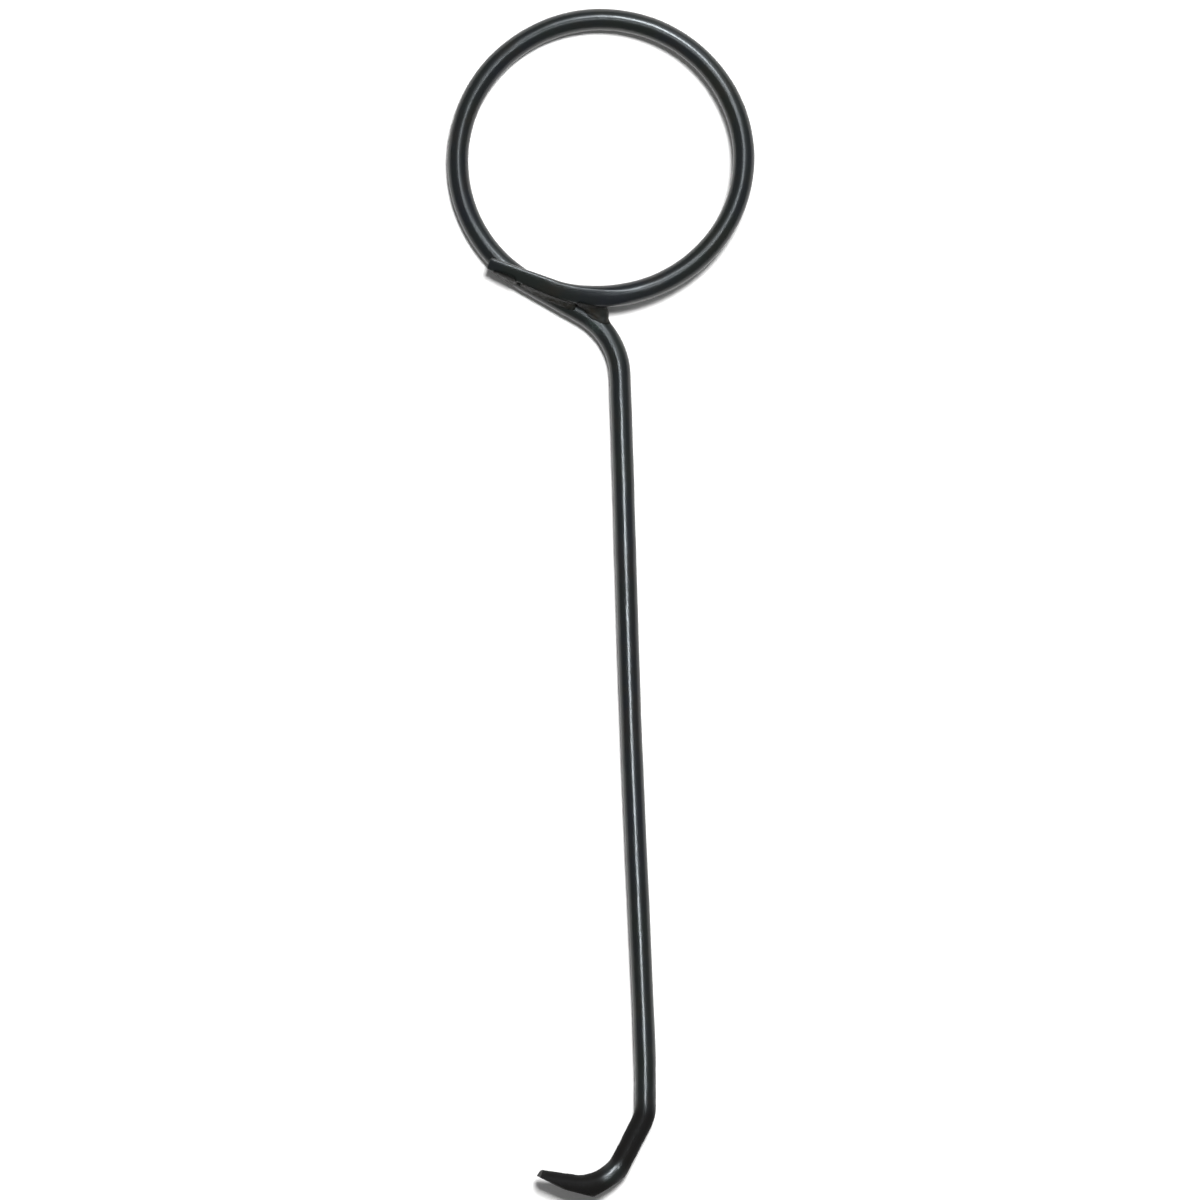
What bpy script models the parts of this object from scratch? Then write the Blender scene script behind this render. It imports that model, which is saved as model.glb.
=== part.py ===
"""Hive tool: a finger ring, straight shank and pry hook bent from one round steel bar.

Metres, +Z up. The tool lies flat: the shank runs along Y, the ring is at +Y and the
hook points to -X. It is built round the ring's centre, then moved so that the origin
is under the middle of the whole tool, at the height of the table it lies on.
"""

import math
from bisect import bisect_left
from itertools import accumulate

import bmesh
import bpy
from mathutils import Matrix, Vector

MM = 0.001

# ---- the bar -----------------------------------------------------------------
BAR_RADIUS = 3.0 * MM
BAR_RESOLUTION = 6  # sixteen sides
MERGE_DISTANCE = 1e-6

# ---- the finger ring, about its own centre at x = 0, y = 0 --------------------
# Angles are in degrees from +X; the bar runs round the ring with falling angle.
RING_RADIUS = 39.75 * MM  # centreline
RING_OVAL = 0.45 * MM  # the ring's radius is this much less in Y than in X
RING_START = 238.5  # where the ring leaves the neck
RING_END = -114.0  # where the closing end runs straight on
RING_STEPS = 80
RING_TUCK = 1.6 * MM  # the closing quarter is pulled in this far
RING_TUCK_FROM, RING_TUCK_TO = 10.0, -80.0
LAP_RISE = 5.25 * MM  # centreline height gained, so the end lies on the start
RING_RISE_FROM, RING_RISE_TO = 150.0, -102.0  # the coil climbs between these
SCARF_FROM = -88.0  # the closing end is drawn down thinner from here
SCARF_RADIUS = 2.3 * MM  # at RING_END

END_LENGTH = 18.2 * MM  # straight last piece of the bar
END_DROP = 0.35 * MM  # its tip comes down this much towards the bar below
END_RADIUS = 1.75 * MM  # at the very end
END_STEPS = 6
TANGENT_STEP = 0.5  # degrees back from RING_END, to find the end's direction

# ---- neck and shank ------------------------------------------------------------
SHANK_X = 3.14 * MM  # the shank's axis is this far towards +X of the ring's centre
SHANK_END_Y = -250.8 * MM  # where the shank starts to lean towards the hook
SHANK_BOW = 0.5 * MM  # the shank bows this much towards -X at half length
SHANK_STEPS = 14
NECK_RADIUS = 20.5 * MM
NECK_STEPS = 13
LEAD_STEPS = 4  # the straight piece between neck and ring

# ---- the hook, in its own plane --------------------------------------------------
# Places are (side, down): towards the hook's tip, and along -Y. Without another
# centre given, they start from the shank's lower end.
HOOK_TWIST = math.radians(12.0)  # the plane is turned about the shank, tip up
LEAN_ANGLE = 2.4  # degrees, as are the other bends
BEND1_ANGLE = 27.6
BEND2_ANGLE = 70.8
BEND2_RADIUS = 12.55 * MM
SHANK_TO_BEND2 = (
    ("turn", 40.0 * MM, LEAN_ANGLE),
    ("go", 10.5 * MM),
    ("turn", 10.0 * MM, BEND1_ANGLE),
    ("go", 12.15 * MM),
)
BEND2_TO_TIP = (
    ("turn", BEND2_RADIUS, BEND2_ANGLE),
    ("go", 10.9 * MM),
)
GO_STEPS = 3
TURN_STEP = 4.5  # degrees, roughly
HEEL_SWELL = 0.4 * MM  # extra radius at the middle of the second bend
HEEL_FADE = 0.55  # share of the swell that is gone again in the tip

# Corners between the ground faces of the tip, as (side, down) from the centre of
# the second bend. Each face passes through two neighbouring corners, in this order.
TIP_CORNERS = (
    (-11.75 * MM, 10.35 * MM),
    (-2.40 * MM, 15.61 * MM),
    (5.4 * MM, 13.2 * MM),
    (12.65 * MM, 9.155 * MM),
    (11.85 * MM, 7.6 * MM),
)
TIP_CUTTERS = (
    "heel_flat_cutter",
    "pry_face_cutter",
    "edge_bevel_cutter",
    "tip_end_cutter",
)
CUTTER_SIZE = 40.0 * MM

# ---- weld deposits -----------------------------------------------------------------
GAP = 0.3 * MM  # room between a weld and the bar
WELD_RESOLUTION = 3  # ten sides
LAP_STATIONS = 30  # this many last stations of the bar hold the part over the neck
# Beads along the closing end: name, where from and to (back from the end of the
# bar), radius, steps.
CREASE_BEADS = (
    ("end_tack_weld", 2.2 * MM, 9.2 * MM, 1.15 * MM, 10),
    ("lap_weld", 10.1 * MM, 28.0 * MM, 1.0 * MM, 18),
)
CREASE_TIP_SHARE = 0.35  # a bead's radius at its ends, as a share of the full one
THROAT_FROM = (-3.0 * MM, -41.9 * MM)  # x, y: out of the fork's corner
THROAT_TO = (0.8 * MM, -43.1 * MM)
THROAT_RADIUS = 1.5 * MM  # at most
THROAT_TIP_SHARE = 0.45
THROAT_STEPS = 8
HALVINGS = 30  # steps of the search for the throat weld's height

SHARP_ANGLE = math.radians(32.0)


# ---- helpers -------------------------------------------------------------------------
def smooth(x):
    """Eased 0 to 1, level at both ends."""
    x = min(1.0, max(0.0, x))
    return x * x * (3.0 - 2.0 * x)


def eased(angle, begin, end):
    """Eased 0 to 1 as the ring's angle falls from begin to end."""
    return smooth((begin - angle) / (begin - end))


def segments(chain):
    return zip(chain, chain[1:])


# ---- the hook's centreline -------------------------------------------------------------
def turn_centre(side, down, heading, radius):
    return side + radius * math.cos(heading), down - radius * math.sin(heading)


def walk_hook(moves):
    """(side, down, heading) along the moves; heading turns from down towards side."""
    side = down = heading = 0.0
    places = [(side, down, heading)]
    for kind, size, *angle in moves:
        if kind == "go":
            for i in range(1, GO_STEPS + 1):
                length = size * i / GO_STEPS
                places.append((
                    side + length * math.sin(heading),
                    down + length * math.cos(heading),
                    heading,
                ))
        else:
            centre_side, centre_down = turn_centre(side, down, heading, size)
            steps = max(2, round(angle[0] / TURN_STEP))
            for i in range(1, steps + 1):
                turned = heading + math.radians(angle[0]) * i / steps
                places.append((
                    centre_side - size * math.cos(turned),
                    centre_down + size * math.sin(turned),
                    turned,
                ))
        side, down, heading = places[-1]
    return places


def hook_to_tool(side, down):
    """The point of the turned hook plane in the tool's own frame."""
    return Vector((
        SHANK_X - side * math.cos(HOOK_TWIST),
        SHANK_END_Y - down,
        BAR_RADIUS + side * math.sin(HOOK_TWIST),
    ))


def heel_radius(heading):
    """The bar is fatter in the second bend, and stays a little fatter in the tip."""
    before = math.radians(LEAN_ANGLE + BEND1_ANGLE)
    done = (heading - before) / math.radians(BEND2_ANGLE)
    # It swells over the first third of the bend and fades over the last.
    kept = 1.0 - HEEL_FADE * smooth(3.0 * done - 2.0)
    return BAR_RADIUS + HEEL_SWELL * smooth(3.0 * done) * kept


# ---- the whole bar, as stations: (point, radius) ------------------------------------------
def hook_stations():
    """From the hook's tip to the shank's lower end."""
    places = walk_hook(SHANK_TO_BEND2 + BEND2_TO_TIP)
    return [
        (hook_to_tool(side, down), heel_radius(heading))
        for side, down, heading in reversed(places)
    ]


def ring_point(angle):
    turn = math.radians(angle)
    tuck = RING_TUCK * eased(angle, RING_TUCK_FROM, RING_TUCK_TO)
    radius = RING_RADIUS - RING_OVAL * math.sin(turn) ** 2 - tuck
    rise = LAP_RISE * eased(angle, RING_RISE_FROM, RING_RISE_TO)
    return Vector((radius * math.cos(turn), radius * math.sin(turn), BAR_RADIUS + rise))


def neck_points():
    """The neck's arc and the straight lead that meets the ring along its tangent."""
    start = ring_point(RING_START)
    tangent = math.radians(RING_START + 90.0)  # from the ring down towards the neck
    bend = math.radians(RING_START - 180.0)
    centre_x = SHANK_X - NECK_RADIUS
    arc_end_x = centre_x + NECK_RADIUS * math.cos(bend)
    lead_length = (arc_end_x - start.x) / math.cos(tangent)
    arc_end_y = start.y + lead_length * math.sin(tangent)
    centre_y = arc_end_y - NECK_RADIUS * math.sin(bend)
    arc = []
    for i in range(NECK_STEPS + 1):
        turned = bend * i / NECK_STEPS
        arc.append(Vector((
            centre_x + NECK_RADIUS * math.cos(turned),
            centre_y + NECK_RADIUS * math.sin(turned),
            BAR_RADIUS,
        )))
    return arc + [arc[-1].lerp(start, i / LEAD_STEPS) for i in range(1, LEAD_STEPS)]


def shank_points(top_y):
    """Between the hook and the neck, without either end."""
    points = []
    for i in range(1, SHANK_STEPS):
        f = i / SHANK_STEPS
        x = SHANK_X - SHANK_BOW * math.sin(math.pi * f) ** 2
        y = SHANK_END_Y + (top_y - SHANK_END_Y) * f
        points.append(Vector((x, y, BAR_RADIUS)))
    return points


def ring_stations():
    stations = []
    for i in range(RING_STEPS + 1):
        angle = RING_START + (RING_END - RING_START) * i / RING_STEPS
        thinned = (BAR_RADIUS - SCARF_RADIUS) * eased(angle, SCARF_FROM, RING_END)
        stations.append((ring_point(angle), BAR_RADIUS - thinned))
    return stations


def closing_end_stations():
    """The straight last piece, thinning towards the end of the bar."""
    start = ring_point(RING_END)
    way = start - ring_point(RING_END + TANGENT_STEP)
    way.z = 0.0
    way.normalize()
    stations = []
    for i in range(1, END_STEPS + 1):
        f = i / END_STEPS
        drop = Vector((0.0, 0.0, END_DROP * smooth(f)))
        radius = SCARF_RADIUS + (END_RADIUS - SCARF_RADIUS) * f
        stations.append((start + way * (END_LENGTH * f) - drop, radius))
    return stations


def bar_stations():
    """From the tip of the hook to the ring's closing end."""
    neck = neck_points()
    straight = [(point, BAR_RADIUS) for point in shank_points(neck[0].y) + neck]
    return hook_stations() + straight + ring_stations() + closing_end_stations()


# ---- solids ----------------------------------------------------------------------------
def rod(name, stations, resolution, material, collection):
    """A round bar along the stations, as a mesh object."""
    curve = bpy.data.curves.new(name, "CURVE")
    curve.dimensions = "3D"
    curve.twist_mode = "Z_UP"
    curve.bevel_depth = 1.0  # so that a point's radius is the bar's radius
    curve.bevel_resolution = resolution
    curve.use_fill_caps = True
    spline = curve.splines.new("POLY")
    spline.points.add(len(stations) - 1)
    for spline_point, (place, radius) in zip(spline.points, stations):
        spline_point.co = (*place, 1.0)
        spline_point.radius = radius
    guide = bpy.data.objects.new(name + "_guide", curve)
    bpy.context.scene.collection.objects.link(guide)
    bpy.context.view_layer.update()
    graph = bpy.context.evaluated_depsgraph_get()
    mesh = bpy.data.meshes.new_from_object(guide.evaluated_get(graph))
    bpy.data.objects.remove(guide)
    mesh.name = name

    # The caps come unjoined from the side.
    work = bmesh.new()
    work.from_mesh(mesh)
    bmesh.ops.remove_doubles(work, verts=work.verts, dist=MERGE_DISTANCE)
    bmesh.ops.recalc_face_normals(work, faces=work.faces)
    work.to_mesh(mesh)
    work.free()

    mesh.materials.clear()
    mesh.materials.append(material)
    mesh.shade_smooth()
    mesh.set_sharp_from_angle(angle=SHARP_ANGLE)
    made = bpy.data.objects.new(name, mesh)
    collection.objects.link(made)
    return made


def slab_cutter(name, start, end, collection):
    """A block standing across the hook's plane, with one side through both points.

    It lies on the outer side of the tip when start to end follows TIP_CORNERS."""
    along = (end - start).normalized()
    across = Vector((math.sin(HOOK_TWIST), 0.0, math.cos(HOOK_TWIST)))
    outward = across.cross(along).normalized()
    middle = (start + end) / 2 + outward * CUTTER_SIZE / 2
    turn = Matrix((along, outward, along.cross(outward))).transposed().to_4x4()
    bpy.ops.mesh.primitive_cube_add(size=CUTTER_SIZE)
    cutter = bpy.context.object
    cutter.name = name
    cutter.matrix_world = Matrix.Translation(middle) @ turn
    cutter.hide_render = True
    cutter.display_type = "WIRE"
    for old in list(cutter.users_collection):
        old.objects.unlink(cutter)
    collection.objects.link(cutter)
    return cutter


def grind_tip(bar, collection):
    """Cut the ground faces of the hook's tip."""
    centre_side, centre_down = turn_centre(*walk_hook(SHANK_TO_BEND2)[-1], BEND2_RADIUS)
    corners = [
        hook_to_tool(centre_side + side, centre_down + down) for side, down in TIP_CORNERS
    ]
    for name, (start, end) in zip(TIP_CUTTERS, segments(corners)):
        cut = bar.modifiers.new(name, "BOOLEAN")
        cut.operation = "DIFFERENCE"
        cut.solver = "EXACT"
        cut.object = slab_cutter(name, start, end, collection)


# ---- welds, between the lap (the closing end) and the bar under it -------------------------
def nearest_on(stations, point):
    """Nearest point of a chain of stations."""
    nearest = []
    for (a, _), (b, _) in segments(stations):
        f = min(1.0, max(0.0, (point - a).dot(b - a) / (b - a).length_squared))
        nearest.append(a.lerp(b, f))
    return min(nearest, key=lambda place: (place - point).length)


def rounded(f, tip_share):
    """Share of a weld's full radius at f, 0 to 1 along it, with rounded ends."""
    return tip_share + (1.0 - tip_share) * math.sqrt(max(0.0, 1.0 - (2 * f - 1) ** 4))


def crease_point(front, front_radius, back, along, bead_radius):
    """Centre of a bead that keeps GAP to both bars, on the side away from the ring's centre.

    front is on the lap, back on the full-size bar under it."""
    across = front - back
    apart = across.length
    across.normalize()
    to_back = BAR_RADIUS + GAP + bead_radius
    to_front = front_radius + GAP + bead_radius
    reach = (to_back**2 - to_front**2 + apart**2) / (2.0 * apart)
    side = across.cross(along).normalized()
    if side.dot(Vector((front.x, front.y, 0.0))) < 0:
        side = -side
    return back + across * reach + side * math.sqrt(max(0.0, to_back**2 - reach**2))


def crease_bead(lap, lower, start, end, bead_radius, steps):
    """Stations of a bead in the crease under the closing end."""
    lengths = list(accumulate(((b - a).length for (a, _), (b, _) in segments(lap)), initial=0.0))
    stations = []
    for i in range(steps + 1):
        f = i / steps
        distance = lengths[-1] - (start + (end - start) * f)
        k = bisect_left(lengths, distance) - 1
        (a, a_radius), (b, b_radius) = lap[k : k + 2]
        u = (distance - lengths[k]) / (lengths[k + 1] - lengths[k])
        front = a.lerp(b, u)
        front_radius = a_radius + (b_radius - a_radius) * u
        back = nearest_on(lower, front)
        radius = bead_radius * rounded(f, CREASE_TIP_SHARE)
        along = (b - a).normalized()
        stations.append((crease_point(front, front_radius, back, along, radius), radius))
    return stations


def throat_web(lap, lower):
    """Stations of the weld in the fork between neck and ring: at each place it sits
    midway between the two bars and is as thick as they leave room for."""
    stations = []
    for i in range(THROAT_STEPS + 1):
        f = i / THROAT_STEPS
        x, y = (a + (b - a) * f for a, b in zip(THROAT_FROM, THROAT_TO))
        low, high = BAR_RADIUS, BAR_RADIUS + LAP_RISE
        for _ in range(HALVINGS):
            place = Vector((x, y, (low + high) / 2))
            to_neck = (nearest_on(lower, place) - place).length
            to_ring = (nearest_on(lap, place) - place).length
            if to_neck < to_ring:
                low = place.z
            else:
                high = place.z
        room = min(to_neck, to_ring) - BAR_RADIUS - GAP
        stations.append((place, min(room, THROAT_RADIUS) * rounded(f, THROAT_TIP_SHARE)))
    return stations


def build_welds(stations, material, collection):
    lap = stations[-LAP_STATIONS:]
    lower = stations[: len(stations) // 2]
    chains = [(name, crease_bead(lap, lower, *sizes)) for name, *sizes in CREASE_BEADS]
    chains.append(("throat_weld", throat_web(lap, lower)))
    return [rod(name, chain, WELD_RESOLUTION, material, collection) for name, chain in chains]


# ---- scene -------------------------------------------------------------------------------
def paint(name, colour, roughness):
    made = bpy.data.materials.new(name)
    made.use_nodes = True
    shader = made.node_tree.nodes["Principled BSDF"]
    shader.inputs["Base Color"].default_value = (*colour, 1.0)
    shader.inputs["Roughness"].default_value = roughness
    shader.inputs["Metallic"].default_value = 0.0
    return made


def new_collection(name):
    made = bpy.data.collections.new(name)
    bpy.context.scene.collection.children.link(made)
    return made


def put_on_origin(pieces, helpers):
    """Move everything so the origin is under the middle of the pieces, where they rest."""
    bpy.context.view_layer.update()
    graph = bpy.context.evaluated_depsgraph_get()
    places = []
    for obj in pieces:
        seen = obj.evaluated_get(graph)
        places += [obj.matrix_world @ vertex.co for vertex in seen.to_mesh().vertices]
        seen.to_mesh_clear()
    low, high = (Vector(map(pick, zip(*places))) for pick in (min, max))
    shift = Vector((-(low.x + high.x) / 2, -(low.y + high.y) / 2, -low.z))
    for obj in pieces + helpers:
        obj.matrix_world = Matrix.Translation(shift) @ obj.matrix_world


def main():
    for obj in list(bpy.data.objects):
        bpy.data.objects.remove(obj, do_unlink=True)
    tool = new_collection("hive_tool")
    cutters = new_collection("hive_tool_cutters")
    black = paint("satin_black_paint", colour=(0.012, 0.014, 0.013), roughness=0.34)
    weld_black = paint("painted_weld", colour=(0.013, 0.014, 0.012), roughness=0.42)

    stations = bar_stations()
    bar = rod("bent_bar", stations, BAR_RESOLUTION, black, tool)
    grind_tip(bar, cutters)
    welds = build_welds(stations, weld_black, tool)
    put_on_origin([bar] + welds, list(cutters.objects))


main()
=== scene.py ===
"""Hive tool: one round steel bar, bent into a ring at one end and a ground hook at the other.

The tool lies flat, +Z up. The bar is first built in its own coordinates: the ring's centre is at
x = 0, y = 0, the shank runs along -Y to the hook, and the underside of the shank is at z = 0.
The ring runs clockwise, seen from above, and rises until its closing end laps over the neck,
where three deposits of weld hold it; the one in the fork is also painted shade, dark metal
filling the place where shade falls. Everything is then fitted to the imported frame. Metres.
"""

import math

import bpy
import numpy as np
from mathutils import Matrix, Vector


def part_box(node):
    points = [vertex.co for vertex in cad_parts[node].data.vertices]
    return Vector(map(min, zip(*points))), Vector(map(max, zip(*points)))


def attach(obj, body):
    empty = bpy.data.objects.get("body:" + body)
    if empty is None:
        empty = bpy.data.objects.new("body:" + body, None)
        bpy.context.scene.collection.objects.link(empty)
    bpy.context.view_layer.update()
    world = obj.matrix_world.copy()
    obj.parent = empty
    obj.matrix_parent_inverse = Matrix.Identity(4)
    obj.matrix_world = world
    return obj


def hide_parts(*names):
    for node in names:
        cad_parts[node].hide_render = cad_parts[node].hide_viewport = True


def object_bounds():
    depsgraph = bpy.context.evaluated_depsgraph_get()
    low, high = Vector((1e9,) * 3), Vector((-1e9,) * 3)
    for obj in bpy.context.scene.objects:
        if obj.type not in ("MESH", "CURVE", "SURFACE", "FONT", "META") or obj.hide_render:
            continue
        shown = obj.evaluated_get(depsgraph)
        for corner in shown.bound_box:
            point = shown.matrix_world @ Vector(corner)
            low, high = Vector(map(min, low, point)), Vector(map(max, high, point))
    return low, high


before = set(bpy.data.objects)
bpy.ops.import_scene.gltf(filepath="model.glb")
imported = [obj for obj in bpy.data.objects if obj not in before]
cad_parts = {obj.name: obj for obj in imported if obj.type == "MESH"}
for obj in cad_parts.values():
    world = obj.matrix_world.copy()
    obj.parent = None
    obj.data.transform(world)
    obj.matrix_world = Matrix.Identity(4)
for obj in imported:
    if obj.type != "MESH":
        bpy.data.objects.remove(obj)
CAD_LOW, CAD_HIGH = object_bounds()

MM = 0.001

# ---- sizes of the bar; ring angles are degrees from +X -----------------------------------
BAR_R = 3.0 * MM
RING_RADIUS = 39.75 * MM
RING_OVAL = 0.45 * MM  # less radius towards +Y and -Y
RING_TUCK, TUCK_FROM, TUCK_TO = 1.6 * MM, 10.0, -80.0
RING_START, RING_END = 238.5, -114.0
RISE_FROM, RISE_TO = 150.0, -102.0
LAP_RISE = 5.25 * MM
# The straight closing end, thinned and flattened on top
END_LENGTH, END_DROP = 18.2 * MM, 0.35 * MM
SCARF_FROM, SCARF_R, END_R = -88.0, 2.3 * MM, 1.75 * MM
SCARF_LENGTH, SCARF_FLAT, SCARF_LEAN = 47.0 * MM, 0.58, 17.0
SHANK_X, NECK_RADIUS = 3.14 * MM, 20.5 * MM
SHANK_END_Y, SHANK_BOW = -250.8 * MM, 0.5 * MM

# ---- sizes of the hook, in its own plane: w sideways, d along the shank, away from the ring
HOOK_TWIST = math.radians(12.0)
BEND2_ANGLE, TIP_LENGTH = 70.8, 10.9 * MM
# Radius of a turn, or length of a straight run; degrees turned (0 for a straight run).
# The last turn is the second bend.
HOOK_MOVES = [
    (40.0 * MM, 2.4),
    (10.5 * MM, 0.0),
    (10.0 * MM, 27.6),
    (12.15 * MM, 0.0),
    (12.55 * MM, BEND2_ANGLE),
    (TIP_LENGTH, 0.0),
]
HOOK_STEP = 0.22 * MM
HEEL_SWELL = 0.4 * MM
# Corners (w, d) of the ground outline, from the centre of the second bend. The faces between
# them are the heel flat, the pry face, the edge bevel and the cut end.
GROUND_OUTLINE = MM * np.array(
    [(-11.75, 10.35), (-2.40, 15.61), (5.4, 13.2), (12.65, 9.155), (11.85, 7.6)]
)

SIDES = 80
AROUND = np.linspace(0.0, 2.0 * math.pi, SIDES, endpoint=False)[None, :]
CAP_RINGS = 5
CAP_COUNT = CAP_RINGS * SIDES + 1


# ---- small tools -------------------------------------------------------------------------
def smooth(x):
    x = np.clip(x, 0.0, 1.0)
    return x * x * (3.0 - 2.0 * x)


def unit(vectors):
    return vectors / np.maximum(np.linalg.norm(vectors, axis=-1, keepdims=True), 1e-12)


def run_along(points):
    """Length run from the first point to each point."""
    return np.concatenate([[0.0], np.cumsum(np.linalg.norm(np.diff(points, axis=0), axis=1))])


def field(points, wavelength, seed, waves=48):
    """A smooth random field of about unit size, made of seeded waves."""
    rng = np.random.RandomState(seed)
    ways = unit(rng.normal(size=(waves, 3)))
    sizes = (2.0 * math.pi / wavelength) * rng.uniform(0.6, 1.5, waves)
    phase = rng.uniform(0.0, 2.0 * math.pi, waves)
    return np.sin(points @ (ways * sizes[:, None]).T + phase).sum(-1) * math.sqrt(2.0 / waves)


def smallest(first, second, width):
    """The smaller of two values, rounded over about width where they cross. Between two
    distance fields this is their union with a fillet."""
    width = np.maximum(width, 1e-6)
    share = np.maximum(width - np.abs(first - second), 0.0) / width
    return np.minimum(first, second) - share * share * width * 0.25


def edge_drop(left, soft):
    """How far a quarter-round edge of radius soft falls, with left still to go to the end."""
    back = np.clip(soft - left, 0.0, soft)
    return soft - np.sqrt(np.maximum(soft * soft - back * back, 0.0))


def mesh_object(name, points, faces, smooth_shading=True):
    mesh = bpy.data.meshes.new(name)
    mesh.from_pydata([tuple(point) for point in points], [], faces)
    mesh.validate()
    mesh.update()
    if smooth_shading:
        mesh.shade_smooth()
    made = bpy.data.objects.new(name, mesh)
    bpy.context.scene.collection.objects.link(made)
    return made


def point_layer(obj, name, values, kind="FLOAT", key="value"):
    layer = obj.data.attributes.new(name, kind, "POINT")
    layer.data.foreach_set(key, values.astype(np.float32).ravel())


def swept_faces(rows):
    """Quads between the rows of a sweep, then its two caps, whose points follow the rows."""
    faces = []
    for i in range(rows - 1):
        here, beyond = i * SIDES, (i + 1) * SIDES
        for j in range(SIDES):
            k = (j + 1) % SIDES
            faces.append((here + j, here + k, beyond + k, beyond + j))
    first = rows * SIDES
    for ring, cap, order in ((0, first, -1), (first - SIDES, first + CAP_COUNT, 1)):
        for inner in range(cap, cap + CAP_RINGS * SIDES, SIDES):
            for j in range(SIDES):
                k = (j + 1) % SIDES
                faces.append((ring + j, ring + k, inner + k, inner + j)[::order])
            ring = inner
        middle = cap + CAP_RINGS * SIDES
        for j in range(SIDES):
            faces.append((ring + j, ring + (j + 1) % SIDES, middle)[::order])
    return faces


def cap_points(row, dome):
    """Rings that shrink to the row's middle, standing out by dome (a vector) there."""
    middle = row.mean(0)
    rings = []
    for i in range(1, CAP_RINGS + 1):
        share = 1.0 - i / (CAP_RINGS + 1.0)
        rings.append(middle + (row - middle) * share + dome * (1.0 - share * share))
    rings.append((middle + dome)[None, :])
    return np.concatenate(rings)


# ---- centreline of shank, neck and ring, as dense stations --------------------------------
def ring_point(degrees):
    degrees = np.asarray(degrees, float)
    angle = np.radians(degrees)
    tuck = smooth((TUCK_FROM - degrees) / (TUCK_FROM - TUCK_TO))
    radius = RING_RADIUS - RING_OVAL * np.sin(angle) ** 2 - RING_TUCK * tuck
    rise = smooth((RISE_FROM - degrees) / (RISE_FROM - RISE_TO))
    return np.stack([radius * np.cos(angle), radius * np.sin(angle), BAR_R + LAP_RISE * rise], -1)


def neck():
    """The neck's arc, from the shank up, and the ring's first point. The arc ends on the
    ring's tangent there."""
    start = ring_point(RING_START)
    along = math.radians(RING_START + 90.0)
    turned = math.radians(RING_START - 180.0)
    centre_x = SHANK_X - NECK_RADIUS
    lead = (centre_x + NECK_RADIUS * math.cos(turned) - start[0]) / math.cos(along)
    centre_y = start[1] + lead * math.sin(along) - NECK_RADIUS * math.sin(turned)
    angle = np.linspace(0.0, turned, 70)
    arc = np.stack(
        [
            centre_x + NECK_RADIUS * np.cos(angle),
            centre_y + NECK_RADIUS * np.sin(angle),
            np.full_like(angle, BAR_R),
        ],
        -1,
    )
    return arc, start


def upper_stations():
    """(points, radius) from the shank's lower end to the closing end, the number of shank
    stations and the index of the ring's first station."""
    arc, start = neck()
    share = np.linspace(0.0, 1.0, 430)[:-1]
    shank = np.stack(
        [
            SHANK_X - SHANK_BOW * np.sin(math.pi * share) ** 2,
            SHANK_END_Y + (arc[0, 1] - SHANK_END_Y) * share,
            np.full_like(share, BAR_R),
        ],
        -1,
    )
    lead = arc[-1] + (start - arc[-1]) * np.linspace(0.0, 1.0, 34)[1:-1, None]
    degrees = np.linspace(RING_START, RING_END, 640)
    ring = ring_point(degrees)
    thinned = smooth((SCARF_FROM - degrees) / (SCARF_FROM - RING_END))
    ring_r = BAR_R - (BAR_R - SCARF_R) * thinned
    way = ring_point(RING_END) - ring_point(RING_END + 0.5)
    way[2] = 0.0
    share = np.linspace(0.0, 1.0, 70)[1:]
    tail = ring[-1] + unit(way) * (END_LENGTH * share)[:, None]
    tail[:, 2] -= END_DROP * smooth(share)
    tail_r = SCARF_R + (END_R - SCARF_R) * share
    ring_first = len(shank) + len(arc) + len(lead)
    points = np.concatenate([shank, arc, lead, ring, tail])
    radius = np.concatenate([np.full(ring_first, BAR_R), ring_r, tail_r])
    return points, radius, len(shank), ring_first


def upper_rows(points, radius, shank_count):
    """Rows of points round the shank, neck and ring, and the way the bar runs at its end."""
    tangent = unit(np.gradient(points, axis=0))
    side = unit(np.cross(tangent, np.array([0.0, 0.0, 1.0])))
    upward = np.cross(side, tangent)
    # The sections start turned with the hook and turn back to level along the shank.
    run = run_along(points)
    twist = HOOK_TWIST * (1.0 - smooth(run / (0.6 * run[shank_count])))
    angle = AROUND - twist[:, None]
    # rounded edge at the closing end's cut
    to_end = run[-1] - run
    soft = 0.3 * MM
    eased = radius - edge_drop(to_end, soft)
    eased[-1] = radius[-1] - soft * 0.9
    # The hammered flat on top of the closing end leans out of the ring and leaves a ridge
    # along the inner side.
    out_sign = np.sign((side[:, :2] * points[:, :2]).sum(-1))[:, None]
    lean = np.radians(SCARF_LEAN)
    facing = np.cos(angle) * out_sign * math.sin(lean) + np.sin(angle) * math.cos(lean)
    flatness = smooth((SCARF_LENGTH - to_end) / (0.60 * SCARF_LENGTH))
    depth = 1.0 - (1.0 - SCARF_FLAT) * flatness[:, None]
    limit = depth * radius[:, None] / np.maximum(facing, 0.05)
    easing = 1.5 * MM * smooth((1.0 - depth) / 0.30) + 1e-6
    reach = smallest(np.broadcast_to(eased[:, None], limit.shape), limit, easing)
    rows = (
        points[:, None, :]
        + (reach * np.cos(angle))[..., None] * side[:, None, :]
        + (reach * np.sin(angle))[..., None] * upward[:, None, :]
    )
    return rows, tangent[-1]


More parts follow.
